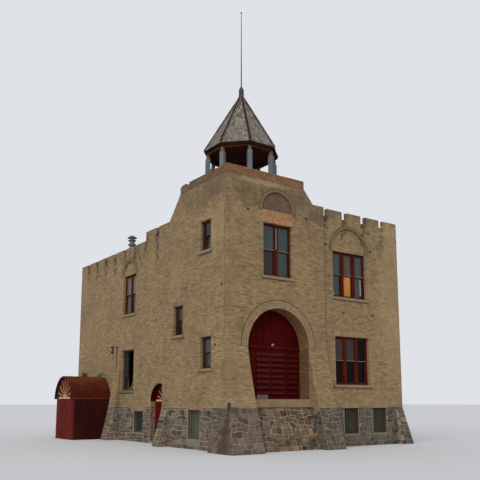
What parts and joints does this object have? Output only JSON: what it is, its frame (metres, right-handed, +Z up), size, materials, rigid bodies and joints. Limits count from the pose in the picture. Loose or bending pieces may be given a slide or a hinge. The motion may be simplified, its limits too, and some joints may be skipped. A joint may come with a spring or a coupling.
{
  "type": "village hall",
  "caption": "Brick village hall on a fieldstone base, with a corner tower, a great arched door, an open belfry under a pointed roof, and a red barrel-roofed vestibule.",
  "frame": {"origin": "centre of the plan of the whole building, on the ground", "axes": "+X along the front from the tower to the far end, +Y from the front to the rear, +Z up"},
  "size_m": [11.09, 16.05, 18.25],
  "materials": {
    "fieldstone": "squared and rough stones with raised pale mortar",
    "sill_stone": "dressed tan stone, weathered",
    "concrete": "floated slab",
    "buff_brick": "worn buff brick in pale mortar",
    "trim_brick": "orange and red brick, weathered",
    "red_paint": "old dark red paint on boards",
    "pale_paint": "old blue-grey paint on boxed timber",
    "frame_paint": "old red paint on sashes and mullions",
    "floor_boards": "worn boards",
    "dark_boards": "dark stained boards",
    "shingle": "weathered shingles",
    "roof_felt": "bitumen felt",
    "window_glass": "old sheet glass, dusty",
    "dark_metal": "dull black paint",
    "zinc": "dull galvanised sheet"
  },
  "bodies": {
    "hall": {"tower_left_foot": "fieldstone", "tower_right_foot": "fieldstone", "arch_infill": "fieldstone", "tower_side_base": "fieldstone", "front_base": "fieldstone", "side_base_front": "fieldstone", "side_base_rear": "fieldstone", "right_base": "fieldstone", "rear_base": "fieldstone", "tower_left_pier": "buff_brick", "tower_right_pier": "buff_brick", "tower_arch_wall": "buff_brick", "great_arch_ring": "buff_brick", "tower_upper_front": "buff_brick", "tower_side_wall": "buff_brick", "tower_shoulders": "buff_brick", "tower_brick_cap": "trim_brick", "front_wall": "buff_brick", "side_door_arch": "buff_brick", "side_wall_front": "buff_brick", "side_wall_rear": "buff_brick", "right_wall": "buff_brick", "rear_wall": "buff_brick", "basement_floor": "concrete", "main_floor": "floor_boards", "upper_floor": "floor_boards", "roof_deck": "roof_felt", "belfry_deck": "floor_boards", "great_door": "red_paint", "great_door_sill": "sill_stone", "tower_windows": "frame_paint", "front_window_frames": "frame_paint", "side_window_frames": "frame_paint", "back_window_frames": "frame_paint", "window_glass": "window_glass", "basement_frames": "dark_boards", "window_sills": "sill_stone", "window_lintels": "trim_brick", "arch_hoods": "buff_brick", "side_door_frame": "red_paint", "door_threshold": "concrete", "vestibule_walls": "red_paint", "vestibule_roof": "red_paint", "vestibule_vent": "dark_metal", "belfry_posts": "pale_paint", "belfry_plate": "pale_paint", "belfry_soffit": "dark_boards", "belfry_roof": "shingle", "belfry_finial": "dark_metal", "lightning_rod": "dark_metal", "roof_ventilator": "zinc"},
    "side_leaf_near": {"side_door_near": "red_paint"},
    "side_leaf_far": {"side_door_far": "red_paint"},
    "vestibule_leaf": {"vestibule_door": "red_paint"}
  },
  "joints": [
    {"name": "side_door_near_hinge", "type": "hinge", "parent": "hall", "child": "side_leaf_near", "pos_m": [-3.3143, -1.858, 0.94], "axis": [0, 0, 1], "range_deg": [0, 90]},
    {"name": "side_door_far_hinge", "type": "hinge", "parent": "hall", "child": "side_leaf_far", "pos_m": [-3.3143, -0.432, 0.94], "axis": [0, 0, -1], "range_deg": [0, 90]},
    {"name": "vestibule_door_hinge", "type": "hinge", "parent": "hall", "child": "vestibule_leaf", "pos_m": [-5.4343, 5.378, 0.99], "axis": [0, 0, -1], "range_deg": [0, 90]}
  ]
}
